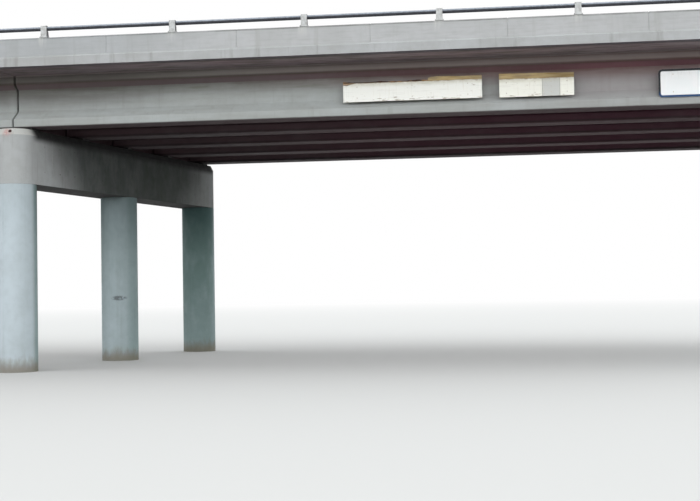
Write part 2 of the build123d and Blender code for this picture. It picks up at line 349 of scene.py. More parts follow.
cap_concrete = new_finish("cap concrete")
place, along, across, up = own_place()
looks = facing()
face = use(cast_face, Tone=(180, 183, 184), Damp_Tone=(156, 156, 153), Run_Tone=(120, 116, 109),
           Mottle=0.5, Runs=0.3, Pinholes=0.45)
# Painted light: the faces turned upward, such as the top slope, are lighter
upward_painted_light = step(looks[2], 0.2, 0.45) * 0.7
outside = open_end(along, looks)
from_middle = abs(across) + outside * 1.1
damp = step(clouds(place, 0.5, 6, (1, 1, 2)), 0.25, 0.65, 0.85, 1)
upper = step(up, cap_low.z, cap_high.z - 0.3, step(from_middle, 3.3, 1.9, 0.55, 1), 1)
# Damp patches with painted shade under the deck, deepest towards the middle of the cap
shade_under_deck = step(from_middle, 4.7, 2.35) * damp * upper * step(outside, 0, 1, 0.97, 0.6)
# Painted shade over the far half of the cap, away from the open ends
far_side_shade = step(across, -1.5, 1.5) * step(up, cap_high.z, cap_low.z, 0.42, 0.5)
far_side_shade = far_side_shade * step(outside, 1, 0)
algae = step(clouds(place, 0.3, 5, (1, 1, 2.5)), 0.5, 0.7) * step(from_middle, 4.3, 2.5) * 0.4
shaded = step(cap_high.z - up, 0.32, 0.14) * step(from_middle, 4.5, 4.2) * step(outside, 0, 1, 0.985, 0.4)
# Painted shade on the cap's underside, almost black
underside_shade = step(looks[2], -0.4, -0.8, 0, 0.985)
trails = step(clouds(place, 0.09, 4, (1, 1, 30)), 0.54, 0.7) * step(from_middle, 4.2, 4.6)
trails = trails * step(up, cap_low.z + 0.5, cap_high.z, 0, 0.28)
RUST_SPOT = Vector((-0.943, -4.724, 5.284))  # where a tie end rusts through, below the outer girder's joint
rust = spot(place, RUST_SPOT, 0.046, 0.35)
halo = spot(place, RUST_SPOT - Vector((0.07, 0.015, 0.02)), 0.15, 0.9)
halo = halo * step(clouds(place, 0.04, 3), 0.3, 0.55)
edge = use(worn_edge, Reach=0.015, Amount=0.5)["Mask"] * step(from_middle, 2.8, 4.4, 0.08, 1)
lay_face(face, 0.003, (upward_painted_light, (200, 200, 195)), (shade_under_deck, (60, 65, 62)), (far_side_shade, (48, 54, 48)),
         (algae, (50, 60, 48)), (shaded, (22, 20, 21)), (underside_shade, (34, 32, 30)), (trails, (120, 114, 104)),
         (halo * 0.6, (186, 120, 112)), (rust, (58, 26, 28)), (edge, (214, 212, 204)))


def along_pier(pier_x, distance, side, height):
    """A point by its distance along the pier's line from the middle, and to the side of that line."""
    return Vector((pier_x + distance * math.sin(SKEW) + side * math.cos(SKEW),
                   distance * math.cos(SKEW) - side * math.sin(SKEW), height))


def cap_ring(pier_x, height, inset):
    """The cap's outline at one level, with a fin at each panel's end."""
    panels = int(CAP_HALF / PANEL_LENGTH)
    radius = CAP_RADIUS - inset
    points = []
    for side in (1, -1):
        for number in range(-panels, panels + 1):
            for nudge, out in ((-FIN_FOOT, 0.0), (0.0, FORM_FIN), (FIN_FOOT, 0.0)):
                distance = number * PANEL_LENGTH + nudge
                points.append(along_pier(pier_x, -side * distance, side * (radius + out), height))
        for turn in (math.pi * i / 24 for i in range(25)):
            distance = CAP_HALF + radius * math.sin(turn)
            points.append(along_pier(pier_x, -side * distance, side * radius * math.cos(turn), height))
    return points


for pier in PIERS:
    node = f"{pier}_pier_cap"
    low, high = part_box(node)
    levels = [(low.z, 0.004), (low.z + 0.005, 0.0), (high.z - CAP_SLOPE_RISE, 0.0), (high.z, CAP_SLOPE_RUN)]
    body = bmesh.new()
    skin(body, [cap_ring((low.x + high.x) / 2, level, inset) for level, inset in levels])
    cast(f"{node}_cast", body, cap_concrete, "pier_concrete", node, smooth_below=15)

mortar = new_finish("mortar plugs")
place, along, across, up = own_place()
face = use(cast_face, Tone=(168, 168, 162), Damp_Tone=(132, 130, 122), Mottle=0.6, Pinholes=0.2)
# Painted shade on the plugs under the deck
shade_under_deck = step(abs(across), 4.5, 3.2, 0, 0.95)
lay_face(face, 0.002, (shade_under_deck, (52, 54, 51)))


def turned(body, seat, axis, steps, profile):
    """A turned or six-sided piece that stands on a face: its rise along the axis, and its radius there."""
    axis = axis.normalized()
    side = axis.orthogonal().normalized()
    other = axis.cross(side)
    turns = [2 * math.pi * i / steps for i in range(steps)]
    skin(body, [[seat + axis * rise + (side * math.cos(a) + other * math.sin(a)) * radius for a in turns]
                for rise, radius in profile])


def disc(body, seat, axis, radius, rise, steps=12, shrink=0.8):
    turned(body, seat, axis, steps, ((-0.002, radius), (rise * 0.6, radius), (rise, radius * shrink)))


def outward_of(side):
    """Square to the skewed ends of the spans and the sides of the piers, to the left or right."""
    return Vector((side * math.cos(SKEW), -side * math.sin(SKEW), 0))


body = bmesh.new()
for pier in PIERS:
    low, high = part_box(f"{pier}_pier_cap")
    pier_x = (low.x + high.x) / 2
    for side in (-1, 1):
        for number in range(-7, 7):
            for height in (low.z + PLUG_FROM_FOOT, high.z - PLUG_FROM_TOP):
                seat = along_pier(pier_x, (number + 0.5) * PLUG_PITCH, side * CAP_RADIUS, height)
                disc(body, seat, outward_of(side), 0.014, 0.002)
cast("pier_cap_tie_plugs", body, mortar, "pier_concrete")

# Bearing pads, moulded of rubber with thin steel plates inside. The rubber swells
# a little between the plates under the girders' weight. One lies under each end.


def two_toned(name, clean, top_dirt_and_shade, patches, limits, roughnesses, depth):
    """A finish of two tones, each with its roughness. The second lies in patches of this size and detail."""
    material = new_finish(name)
    mask = step(clouds(own_place()[0], *patches), *limits)
    lay_on(stained(clean, (mask, top_dirt_and_shade)), step(mask, 0, 1, *roughnesses), mask, depth)
    return material


pad_rubber = two_toned("pad rubber", (38, 38, 39), (84, 80, 74), (0.08, 4), (0.4, 0.7), (0.6, 0.9), 0.001)

PAD_LENGTH, PAD_WIDTH, PAD_LAYERS, PAD_SWELL, PAD_CORNER = 0.23, 0.45, 4, 0.004, 0.012
girder_rows = []
for number in range(1, 6):
    low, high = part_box(f"right_span_girder_{number}")
    girder_rows.append((low.y + high.y) / 2)


def squared_ring(x, y, length, width, height, corner, steps=3):
    """A rectangle's outline at one level, with its corners rounded in this many steps."""
    points = []
    for side_x, side_y, first in ((1, 1, 0), (-1, 1, 90), (-1, -1, 180), (1, -1, 270)):
        for i in range(steps + 1):
            turn = math.radians(first + 90 * i / steps)
            points.append((x + side_x * (length / 2 - corner) + corner * math.cos(turn),
                           y + side_y * (width / 2 - corner) + corner * math.sin(turn), height))
    return points


for pier in PIERS:
    node = f"{pier}_pier_bearing_pads"
    low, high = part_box(node)
    pad_out = (high.x - low.x) / 2 - SKEW_SLOPE * girder_rows[-1] - PAD_LENGTH / 2
    body = bmesh.new()
    for row in girder_rows:
        for side in (-1, 1):
            x = (low.x + high.x) / 2 + SKEW_SLOPE * row + side * pad_out
            rings = []
            for i in range(4 * PAD_LAYERS + 1):
                bulge = 2 * PAD_SWELL * abs(math.sin(math.pi * i / 4)) - PAD_SWELL
                level = low.z + (high.z - low.z) * i / (4 * PAD_LAYERS)
                rings.append(squared_ring(x, row, PAD_LENGTH + bulge, PAD_WIDTH + bulge, level, PAD_CORNER))
            skin(body, rings)
    cast(f"{node}_moulded", body, pad_rubber, "bearing_rubber", node, smooth_below=60)

# Precast I-girders, five to a span, cast in a steel form at a yard and set down on
# the pads. The form leaves the faces smooth, with a fin at each of its joints.
# Dust and dirt darken all that rain doesn't wash, and painted shade lies where the deck keeps light away.

# Dirt and painted shade on the faces turned down and between the outer girders, weaker at the open ends
sheltered, taken = effect("sheltered dirt and painted shade", {"Edge": 4.1, "Amount": 0.85}, ("Mask",))
place, along, across, up = own_place()
looks = facing()
inner = step(abs(across), taken["Edge"], taken["Edge"] - 0.06)
dark = larger(inner, step(looks[2], -0.5, -0.85)) * step(open_end(along, looks), 0, 1, 1, 0.2)
uneven = step(clouds(place, 0.5, 6, (3, 1, 1)), 0.25, 0.6, 0.9, 1)
hand_out(Mask=dark * uneven * taken["Amount"])

girder_low, girder_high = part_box("right_span_girder_1")
foot, head = girder_low.z, girder_high.z
girder_concrete = new_finish("girder concrete")
place, along, across, up = own_place()
looks = facing()
face = use(cast_face, Tone=(177, 182, 181), Damp_Tone=(159, 161, 157), Run_Tone=(122, 118, 110),
           Mottle=0.45, Runs=0.2, Pinholes=0.4)
off_middle = abs(along)
banding = step(clouds(place, 0.12, 5, (14, 1, 1)), 0.45, 0.7, 0, 0.35)  # faint level streaks, from the pour
inland = step(open_end(along, looks), 0, 1, 1, 0.2)
high_up = step(up, foot + 0.5, head - 0.22) * inland
patchy = step(clouds(place, 0.35, 6, (5, 1, 0.6)), 0.2, 0.6, 0.65, 0.95)
far_out = step(off_middle, 2, 10)  # damp and green by the middle pier, dirtier away from it
ruddy = step(off_middle, 8, 12, 0, 0.5) * step(up, foot + 0.1, foot + 0.45, 0.3, 1)
# Darker high on the web under the overhang: patchy dirt and painted shade
grime_and_shade_tone = stained((95, 94, 86), (far_out, (106, 74, 70)))
mossy = step(clouds(place, 0.22, 5, (6, 1, 0.5)), 0.54, 0.68) * high_up * step(far_out, 0.3, 1, 0.5, 0.15)
washed = step(abs(up - (head - 0.075)), 0.1, 0.03) * step(far_out, 0, 0.25, 0.42, 0.68)
by_joint = step(off_middle, 3.2, 0.6, 0, step(along, -1, -1.3, 0.62, 0.85))
by_joint = by_joint * patchy * step(up, foot + 0.2, foot + 0.72, 0.08, 1)
# Painted shade on the taper under the top flange, deepest at its top
taper_shade = step(looks[2], -0.3, -0.6) * step(up, head - 0.32, head - 0.26, 0.1, 0.8)
taper_shade_tone = stained((80, 82, 74), (step(off_middle, 2.5, 5.5), (107, 110, 105)),
                     (step(off_middle, 5, 8), (119, 107, 92)), (step(off_middle, 9, 12), (120, 86, 79)))
# A painted shadow line just under the top flange
shadow_under_shoulder = step(abs(up - (head - 0.17)), 0.05, 0.01, 0, 0.6) * inland
# Dirt and painted shade under the deck, darkest on the girders' lower edges
soot_and_shade_mask = use(sheltered, Edge=4.1, Amount=1)["Mask"]
lower_edge = step(up, foot + 0.08, foot + 0.02)
first_one = step(across, -3.7, -3.8, 0, 0.7)
last_one = step(across, 3.7, 3.8, 0, 0.7)  # the far outermost girder's lower edge is blackest: dirt and painted shade
under_tone = stained((66, 54, 57), (step(off_middle, 2, 6.5), (87, 66, 70)), (first_one, (68, 50, 54)))
soot_and_shade_tone = stained((106, 86, 91), (far_out, (117, 79, 92)), (lower_edge, under_tone),
                (step(off_middle, 14.3, 16.6, 0, 0.85), (112, 109, 105)),
                (lower_edge * last_one, (30, 26, 28)))
lip = step(up, foot + 0.05, foot + 0.01, 0, 0.3) * step(soot_and_shade_mask, 0.6, 0)
edge = use(worn_edge, Reach=0.01, Amount=0.4)["Mask"] * step(soot_and_shade_mask, 0.2, 0.7, 1, 0.25)
lay_face(face, 0.002, (banding, (151, 151, 146)), (ruddy, (152, 140, 143)), (high_up * patchy, grime_and_shade_tone),
         (mossy, (92, 96, 72)), (washed, (160, 152, 148)), (by_joint, (92, 88, 84)), (taper_shade, taper_shade_tone),
         (shadow_under_shoulder, (74, 60, 54)), (soot_and_shade_mask, soot_and_shade_tone), (lip, (104, 98, 96)), (edge, (184, 180, 172)))

SPANS = ("left", "right")
FLANGE, FLANGE_DEPTH, TAPER_DEPTH, WEB = 0.559, 0.178, 0.191, 0.178
TOP_TAPER, TOP_FLANGE, TOP_DEPTH, CHAMFER = 0.114, 0.406, 0.178, 0.019
GIRDER_DEPTH = girder_high.z - girder_low.z
LOWER_FILLET, UPPER_FILLET = FLANGE_DEPTH + TAPER_DEPTH, GIRDER_DEPTH - TOP_DEPTH - TOP_TAPER
FORM_LENGTH = 3.05  # the steel side forms of the girder bed


def both_sides(half):
    """A section from one half of its outline, across and up."""
    return half + [(-y, z) for y, z in reversed(half)]


def girder_section(out):
    """The I-section, across and up from the middle of its underside, grown by out at a form's joint."""
    web = WEB / 2 + out
    return both_sides([
        (FLANGE / 2 - CHAMFER, 0.0), (FLANGE / 2 + out, CHAMFER), (FLANGE / 2 + out, FLANGE_DEPTH),
        (web + 0.03, FLANGE_DEPTH + TAPER_DEPTH * 0.87), (web + 0.006, LOWER_FILLET + 0.012),
        (web, LOWER_FILLET + 0.05), (web, UPPER_FILLET - 0.03), (web + 0.012, UPPER_FILLET + 0.012),
        (TOP_FLANGE / 2 + out, GIRDER_DEPTH - TOP_DEPTH), (TOP_FLANGE / 2 + out, GIRDER_DEPTH)])


def skewed(section, x):
    """A section, across and up, set out on the skewed line that crosses the middle at x."""
    return [(x + SKEW_SLOPE * y, y, z) for y, z in section]


def between_piers(body, node, sections):
    """A bar whose ends follow the skew. Each of its sections comes with its share of the length."""
    low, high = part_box(node)
    middle = (low.y + high.y) / 2
    shift = SKEW_SLOPE * (high.y - low.y) / 2
    begin, end = low.x + shift, high.x - shift
    skin(body, [skewed(section, begin + (end - begin) * share - SKEW_SLOPE * middle)
                for share, section in sections])


for span in SPANS:
    for number, row in enumerate(girder_rows, 1):
        node = f"{span}_span_girder_{number}"
        low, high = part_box(node)
        length = high.x - low.x - SKEW_SLOPE * (high.y - low.y)
        joints = [(0.0, 0.0)]
        for joint in range(1, int(length / FORM_LENGTH) + 1):
            for nudge, out in ((-FIN_FOOT, 0.0), (0.0, FORM_FIN / 2), (FIN_FOOT, 0.0)):
                joints.append(((joint * FORM_LENGTH + nudge) / length, out))
        joints.append((1.0, 0.0))
        body = bmesh.new()
        between_piers(body, node, [(share, [(row + y, low.z + z) for y, z in girder_section(out)])
                                   for share, out in joints])
        cast(f"{node}_precast", body, girder_concrete, "girder_concrete", node, arris=0.006, smooth_below=15)

# The prestressing strands are cut off flush at each girder's end and daubed with
# black mastic. They show at the outer ends of the two spans.

mastic = two_toned("strand mastic", (30, 29, 28), (96, 58, 40), (0.03, 4), (0.45, 0.65), (0.5, 0.9), 0.001)
STRAND_PITCH, STRAND_ROWS = 0.0508, (0.05, 0.1, 0.15)
strands = [(STRAND_PITCH * i, z) for i in range(-4, 5) for z in STRAND_ROWS]
strands += [(y, z) for z in (0.95, 1.05) for y in (-0.0254, 0.0254)]
body = bmesh.new()
for span, side in zip(SPANS, (-1, 1)):
    for number, row in enumerate(girder_rows, 1):
        low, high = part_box(f"{span}_span_girder_{number}")
        end_x = (low.x if side < 0 else high.x) - side * SKEW_SLOPE * FLANGE / 2
        for y, z in strands:
            seat = Vector((end_x + SKEW_SLOPE * y, row + y, low.z + z))
            disc(body, seat, outward_of(side), 0.011, 0.004, 8)
cast("girder_strand_ends", body, mastic, "girder_concrete")

# Diaphragms: walls cast between the girders' webs at both ends and the middle of
# each span, before the deck. Timber forms leave their faces rougher and darker.

wall_concrete = new_finish("diaphragm concrete")
place, along, across, up = own_place()
face = use(cast_face, Tone=(116, 96, 100), Damp_Tone=(82, 66, 70), Run_Tone=(56, 46, 48),
           Mottle=0.7, Runs=0.4, Pinholes=0.6)
marks = {"Vector": place, "Scale": 3.2, "Distortion": 1.5, "Detail": 3}
form_boards = put("TexWave", marks, bands_direction="Z")["Fac"]
outside = open_end(along, facing()) * 0.75
lay_on(stained(face["Color"], (outside, (156, 153, 147))), face["Roughness"],
       face["Height"] + form_boards * 0.4, 0.003)

END_WALL, END_WALL_SETBACK, MIDDLE_WALL, HAUNCH = 0.25, 0.1, 0.2, 0.025
for span in SPANS:
    low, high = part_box(f"{span}_span_girder_3")
    begin, end = low.x + SKEW_SLOPE * FLANGE / 2, high.x - SKEW_SLOPE * FLANGE / 2
    walls = [(begin + END_WALL_SETBACK, begin + END_WALL_SETBACK + END_WALL),
             ((begin + end - MIDDLE_WALL) / 2, (begin + end + MIDDLE_WALL) / 2),
             (end - END_WALL_SETBACK - END_WALL, end - END_WALL_SETBACK)]
    body = bmesh.new()
    for row, next_row in zip(girder_rows, girder_rows[1:]):
        left = [(row + y, low.z + z) for y, z in (
            (WEB / 2, LOWER_FILLET), (WEB / 2, UPPER_FILLET),
            (TOP_FLANGE / 2, GIRDER_DEPTH - TOP_DEPTH), (TOP_FLANGE / 2, GIRDER_DEPTH + HAUNCH))]
        outline = left + [(row + next_row - y, z) for y, z in reversed(left)]
        for wall in walls:
            skin(body, [skewed(outline, x) for x in wall])
    node = f"{span}_span_diaphragms"
    cast(f"{node}_cast", body, wall_concrete, "girder_concrete", node, arris=0.008)

# Deck slab, cast in place on plywood over the girders, with a low haunch on each.
# A drip groove runs under both edges. The top is grooved across for grip, and
# traffic has polished the wheel tracks.

deck_low, deck_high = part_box("right_span_deck_slab")
DECK_HALF, SLAB_SOFFIT = deck_high.y, deck_low.z + HAUNCH
LEDGE, DRIP_RADIUS, DRIP_SETBACK = 0.03, 0.012, 0.1
PLY_LENGTH, TINE_PITCH = 1.22, 0.025
WHEEL_TRACKS = (-3.35, -1.65, 1.65, 3.35)

deck_concrete = new_finish("deck concrete")
place, along, across, up = own_place()
looks = facing()
from_middle, off_middle = abs(across), abs(along)
face = use(cast_face, Tone=(179, 181, 182), Damp_Tone=(153, 153, 150), Run_Tone=(117, 113, 106),
           Mottle=0.5, Runs=0.4, Pinholes=0.4)
soffit = step(looks[2], -0.3, -0.8)
ply_joint = step(worked_out("PINGPONG", along, PLY_LENGTH / 2), 0, 0.012, 1, 0) * soffit
ply_joint = ply_joint * step(from_middle, 4.4, 4.3)
stain = step(clouds(place, 0.7, 6, (2.5, 1, 1)), 0.3, 0.65, 0.7, 1)
blotchy = step(clouds(place, 0.12, 6, (4, 1, 1)), 0.42, 0.66, 0, 0.5)
mossy = step(clouds(place, 0.22, 5, (6, 1, 0.5)), 0.5, 0.66)
# Dirt and painted shade on the soffit: at the drip edge, along the outer girders and by the pier
drip_edge = step(from_middle, 5.04, 5.24, 0, 0.95)
inner_edge = step(from_middle, 4.85, 4.4, 0, 0.4) * step(along, 10, 5, 0.3, 1)
by_pier = step(off_middle, 3.6, 0.4, 0, 0.45)
soffit_grime_and_shade = larger(by_pier, drip_edge, inner_edge) * soffit
soffit_grime_and_shade = soffit_grime_and_shade * step(clouds(place, 0.15, 6, (5, 1, 1)), 0.3, 0.6, 0.5, 1)
inland = step(open_end(along, looks), 0, 1, 1, 0.1)
haunch_side = step(from_middle, 5.2, 5.1) * step(abs(looks[2]), 0.5, 0.3) * 0.75 * inland
# Dirt and painted shade on all but the upward faces under the deck
soot_and_shade_mask = use(sheltered, Edge=4.25, Amount=0.97)["Mask"]
hidden_side = step(looks[2], 0.3, -0.3) * step(from_middle, 4.3, 4.2) * inland
soot_and_shade_tone = stained((116, 80, 92), (step(off_middle, 14.3, 16.6, 0, 0.85), (112, 109, 105)))
topside = step(looks[2], 0.9, 0.97)
wear = larger(*(step(abs(across - track), 0.15, 0.5, 1, 0) for track in WHEEL_TRACKS))
wear = wear * step(clouds(place, 0.4, 5, (6, 1, 1)), 0.3, 0.6, 0.5, 1)
oil = step(clouds(place, 0.5, 5, (4, 1, 1)), 0.55, 0.75) * 0.3
gutter = step(from_middle, 4.45, 4.95, 0, 0.7) * step(clouds(place, 0.2, 5), 0.3, 0.6)
top_tone = stained(face["Color"], (wear * 0.5, (124, 123, 120)), (oil, (90, 88, 84)),
                   (gutter, (120, 108, 90)))
colour = stained(face["Color"], (soffit * stain, (168, 147, 151)), (soffit * blotchy, (104, 96, 96)),
                 (mossy * soffit * 0.5, (92, 94, 70)), (soffit_grime_and_shade, (76, 72, 80)), (haunch_side, (146, 132, 128)),
                 (soot_and_shade_mask * hidden_side, soot_and_shade_tone), (ply_joint * 0.4, (54, 46, 46)), (topside, top_tone))
tines = step(worked_out("PINGPONG", along, TINE_PITCH / 2), 0.004, 0.007)
relief = face["Height"] + tines * topside * 0.6 - ply_joint * 0.8
lay_on(colour, step(wear, 0, 1, 0.92, 0.7), relief, 0.003)

edge, groove, haunch_foot = DECK_HALF, DECK_HALF - DRIP_SETBACK, SLAB_SOFFIT - HAUNCH
half = [(edge - LEDGE, deck_high.z), (edge, deck_high.z - LEDGE), (edge, SLAB_SOFFIT + 0.006),
        (edge - 0.006, SLAB_SOFFIT)]
half += [(groove + DRIP_RADIUS * math.cos(a), SLAB_SOFFIT + DRIP_RADIUS * math.sin(a))
         for a in (math.pi * i / 6 for i in range(7))]
for row in (girder_rows[4], girder_rows[3]):
    inner, outer = row - TOP_FLANGE / 2, row + TOP_FLANGE / 2
    half += [(outer, SLAB_SOFFIT), (outer, haunch_foot), (inner, haunch_foot), (inner, SLAB_SOFFIT)]
half += [(TOP_FLANGE / 2, SLAB_SOFFIT), (TOP_FLANGE / 2, haunch_foot)]
for span in SPANS:
    node = f"{span}_span_deck_slab"
    body = bmesh.new()
    between_piers(body, node, [(share / 8, both_sides(half)) for share in range(9)])
    cast(f"{node}_cast", body, deck_concrete, "deck_concrete", node, smooth_below=30)

# Lane lines, sprayed on the deck: a white line along each edge and two yellow ones
# down the middle. They are a guess, as the top isn't seen from below, and worn.

LINE_WIDTH, LINE_THICKNESS, LINE_BED = 0.1, 0.002, 0.001
LANE_LINES = (("edge", (212, 212, 205), (160, 160, 154), (-4.1, 4.1)),
              ("centre", (198, 162, 64), (160, 154, 134), (-0.1, 0.1)))
for label, paint, bare, lines in LANE_LINES:
    finish = new_finish(f"{label} lane paint")
    place = own_place()[0]
    worn = step(clouds(place, 0.06, 6, (2, 1, 1)), 0.42, 0.62)
    lay_on(stained(paint, (worn, bare)), 0.8, worn, 0.001)
    body = bmesh.new()
    for span in SPANS:
        low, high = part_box(f"{span}_span_deck_slab")
        begin, end = low.x + SKEW_SLOPE * DECK_HALF + 0.02, high.x - SKEW_SLOPE * DECK_HALF - 0.02
        bed, crown = high.z - LINE_BED, high.z + LINE_THICKNESS
        for line in lines:
            first, last = line - LINE_WIDTH / 2, line + LINE_WIDTH / 2
            strip = [(first, bed), (last, bed), (last, crown), (first, crown)]
            skin(body, [skewed(strip, x) for x in (begin, end)])
    cast(f"deck_{label}_lines", body, finish, "deck_concrete")

# Joint seal over the middle pier: a ribbed rubber strip, squeezed in between the
# two slabs and set a little below their tops.

seal_rubber = two_toned("seal rubber", (40, 40, 40), (112, 104, 92),
                        (0.04, 5), (0.4, 0.66), (0.65, 0.95), 0.002)
low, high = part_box("middle_joint_seal")
seal_half = (high.x - low.x) / 2 - SKEW_SLOPE * high.y
# Each fold's share of the half width, and its depth
FOLDS = ((-1.0, 0.0), (-0.8, 0.0), (-0.5, 0.022), (-0.25, 0.006), (0.0, 0.026),
         (0.25, 0.006), (0.5, 0.022), (0.8, 0.0), (1.0, 0.0))
outline = [(share * seal_half, high.z - depth) for share, depth in FOLDS]
outline += [(seal_half, low.z), (0.0, low.z + 0.012), (-seal_half, low.z)]
body = bmesh.new()
skin(body, [[(x + SKEW_SLOPE * y, y, level) for x, level in outline] for y in (low.y, 0.0, high.y)])
cast("middle_joint_seal_ribbed", body, seal_rubber, "bearing_rubber", "middle_joint_seal", smooth_below=30)

# Parapets, cast on both edges of the deck after the slab had set, which leaves a
# thin line between them. A groove is tooled round them in the middle of each rail
# bay, so that they crack there and nowhere else.

parapet_low, parapet_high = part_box("right_span_parapet_near")
POST_FROM_JOINT, POST_PITCH, POST_BAYS = 1.25, 2.82, 5
JOINT_HALF = 0.025  # the parapet starts half a joint inside the span
GROOVE_DEPTH, GROOVE_WIDTH, PARAPET_CHAMFER = 0.012, 0.02, 0.025

parapet_concrete = new_finish("parapet concrete")
place, along, across, up = own_place()
face = use(cast_face, Tone=(185, 186, 187), Damp_Tone=(167, 168, 167), Run_Tone=(153, 151, 146),
           Mottle=0.5, Runs=0.3, Pinholes=0.3)
grained = step(clouds(place, 0.05, 4, (12, 12, 1)), 0.45, 0.7, 0, 0.35)
weathered = step(up, parapet_high.z - 0.05, parapet_high.z - 0.03)
weathered = weathered * step(clouds(place, 0.25, 5, (3, 3, 1)), 0.3, 0.62, 0.25, 0.8)
by_pier = step(abs(along), 5, 0.5, 0, 0.35)
from_first_post = along - across * SKEW_SLOPE - POST_FROM_JOINT
from_post = abs(worked_out("WRAP", from_first_post, POST_PITCH / 2, -POST_PITCH / 2))
washed = step(from_post, 0.06, 0.13, 1, 0) * step(clouds(place, 0.05, 4, (1, 1, 12)), 0.35, 0.6)
washed = washed * step(up, parapet_low.z + 0.1, parapet_high.z, 0, 0.5)
edge = use(worn_edge, Reach=0.012, Amount=0.25)["Mask"]
lay_face(face, 0.002, (grained, (161, 161, 160)), (weathered, (118, 120, 118)), (by_pier, (150, 156, 160)),
         (washed, (206, 206, 202)), (edge, (206, 204, 198)))


def parapet_section(low, high, inset):
    """The parapet's outline, across and up, pressed in on all but its foot."""
    inner, outer, top = low.y + inset, high.y - inset, high.z - inset
    return [(inner, low.z), (outer, low.z), (outer, top - PARAPET_CHAMFER), (outer - PARAPET_CHAMFER, top),
            (inner + PARAPET_CHAMFER, top), (inner, top - PARAPET_CHAMFER)]


for span in SPANS:
    for side in ("near", "far"):
        node = f"{span}_span_parapet_{side}"
        low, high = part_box(node)
        length = high.x - low.x - SKEW_SLOPE * (high.y - low.y)
        grooves = [(0.0, 0.0)]
        for bay in range(POST_BAYS):
            middle = POST_FROM_JOINT - JOINT_HALF + (bay + 0.5) * POST_PITCH
            for offset, inset in ((-GROOVE_WIDTH / 2, 0.0), (0.0, GROOVE_DEPTH), (GROOVE_WIDTH / 2, 0.0)):
                grooves.append(((middle + offset) / length, inset))
        grooves.append((1.0, 0.0))
        body = bmesh.new()
        between_piers(body, node, [(share, parapet_section(low, high, inset)) for share, inset in grooves])
        cast(f"{node}_cast", body, parapet_concrete, "deck_concrete", node, smooth_below=30)

# Rail posts, cast in aluminium and hollow at the back: a face plate, two cheeks with
# a rib between them, and a seat that holds the tube. Each stands on a base plate
# with four anchor nuts.

cast_metal, taken = effect("dull cast metal", {
    "Tone": (188, 192, 194), "Stain": (120, 120, 116), "Amount": 0.5})
place = own_place()[0]
bloom = step(clouds(place, 0.07, 5), 0.38, 0.68)
drawn = step(clouds(place, 0.02, 4, (1, 1, 6)), 0.5, 0.75)
sand = clouds(place, 0.004, 2)
hand_out(Color=stained(taken["Tone"], (bloom * taken["Amount"], taken["Stain"]),
                       (drawn * taken["Amount"] * 0.6, (92, 90, 86))),
         Roughness=step(bloom, 0, 1, 0.42, 0.7), Height=sand * 0.6 + bloom * 0.3)

post_metal = new_finish("post casting")
face = use(cast_metal, Tone=(204, 206, 206), Stain=(166, 164, 160), Amount=0.5)
# Painted shade on the faces turned along the rail
side_face_shade = step(abs(facing()[0]), 0.5, 0.8, 0, 0.92)
lay_face(face, 0.001, (side_face_shade, (52, 49, 53)), metallic=0.25)

POST_WIDTH, POST_TOP, CHEEK = 0.132, 0.263, 0.012
RAIL_HEIGHT, RAIL_IN = 0.203, 0.07  # the tube's centre, above the parapet and behind the post's face
TUBE_DEPTH, TUBE_HEIGHT, SEAT_PLAY = 0.075, 0.09, 0.0003
BASE_WIDTH, BASE_THICKNESS, BASE_MARGIN = 0.21, 0.018, 0.025
BASE_LENGTH = POST_WIDTH + 2 * BASE_MARGIN
NUTS_ALONG, NUTS_INWARD = (-0.0775, 0.0775), (0.018, 0.142)  # from the middle of the post's face


def tube_point(middle, height, grow, angle):
    """A point on the rail's oval round its middle, grown by this much."""
    return (middle + (TUBE_DEPTH / 2 + grow) * math.cos(angle),
            height + (TUBE_HEIGHT / 2 + grow) * math.sin(angle))


def seat_arc(grow, first, last, steps):
    """Points on the oval seat under and outside the tube, grown by this much."""
    turns = [math.radians(first + (last - first) * i / steps) for i in range(steps + 1)]
    return [tube_point(RAIL_IN, RAIL_HEIGHT, grow, a) for a in turns]


def cast_post(body, x, outer_y, inward_sign, foot_z):
    def slab(outline, first, last):
        """One wall of the post: its outline, inward and up, from one place to another along the rail."""
        skin(body, [[(x + w, outer_y + inward_sign * inward, foot_z + rise) for inward, rise in outline]
                    for w in (first, last)])

    face_plate = [(0.0, 0.01), (0.0, 0.25), (0.004, 0.259), (0.012, POST_TOP), (0.016, 0.24), (0.016, 0.01)]
    lip = [(0.006, 0.256), (0.014, POST_TOP), (0.066, POST_TOP), (0.07, 0.26)]
    lip += seat_arc(SEAT_PLAY, 90, 130, 6)
    seat = seat_arc(SEAT_PLAY, 100, 294, 20) + seat_arc(0.011, 290, 104, 20)
    for wall in (face_plate, lip, seat):
        slab(wall, -POST_WIDTH / 2, POST_WIDTH / 2)
    cheek = [(0.01, 0.01), (0.01, 0.25), *seat_arc(0.004, 125, 292, 14), (0.118, 0.146), (0.158, 0.01)]
    outermost = POST_WIDTH / 2 - 0.002
    for first in (-outermost, outermost - CHEEK):
        slab(cheek, first, first + CHEEK)
    rib = [(0.012, 0.075), (0.012, 0.083), (0.138, 0.083), (0.141, 0.075)]
    slab(rib, -outermost + 0.01, outermost - 0.01)
    middle_y = outer_y + inward_sign * (BASE_WIDTH / 2 - BASE_MARGIN)
    skin(body, [squared_ring(x, middle_y, BASE_LENGTH - trim, BASE_WIDTH - trim, foot_z + level, 0.015)
                for level, trim in ((0.0, 0.0), (BASE_THICKNESS - 0.003, 0.0), (BASE_THICKNESS, 0.006))])


def hex_bolt(body, seat, axis, size, height):
    """A nut on its washer with the bolt's end coming through, standing on a face along the axis."""
    disc(body, seat, axis, size * 1.9, 0.003, 16, 0.95)
    corners = size * 1.12
    turned(body, seat, axis, 6, ((0.001, corners), (height * 0.85 + 0.003, corners),
                                 (height + 0.003, corners * 0.86)))
    disc(body, seat + axis * height, axis, size * 0.55, 0.012, 10, 0.85)


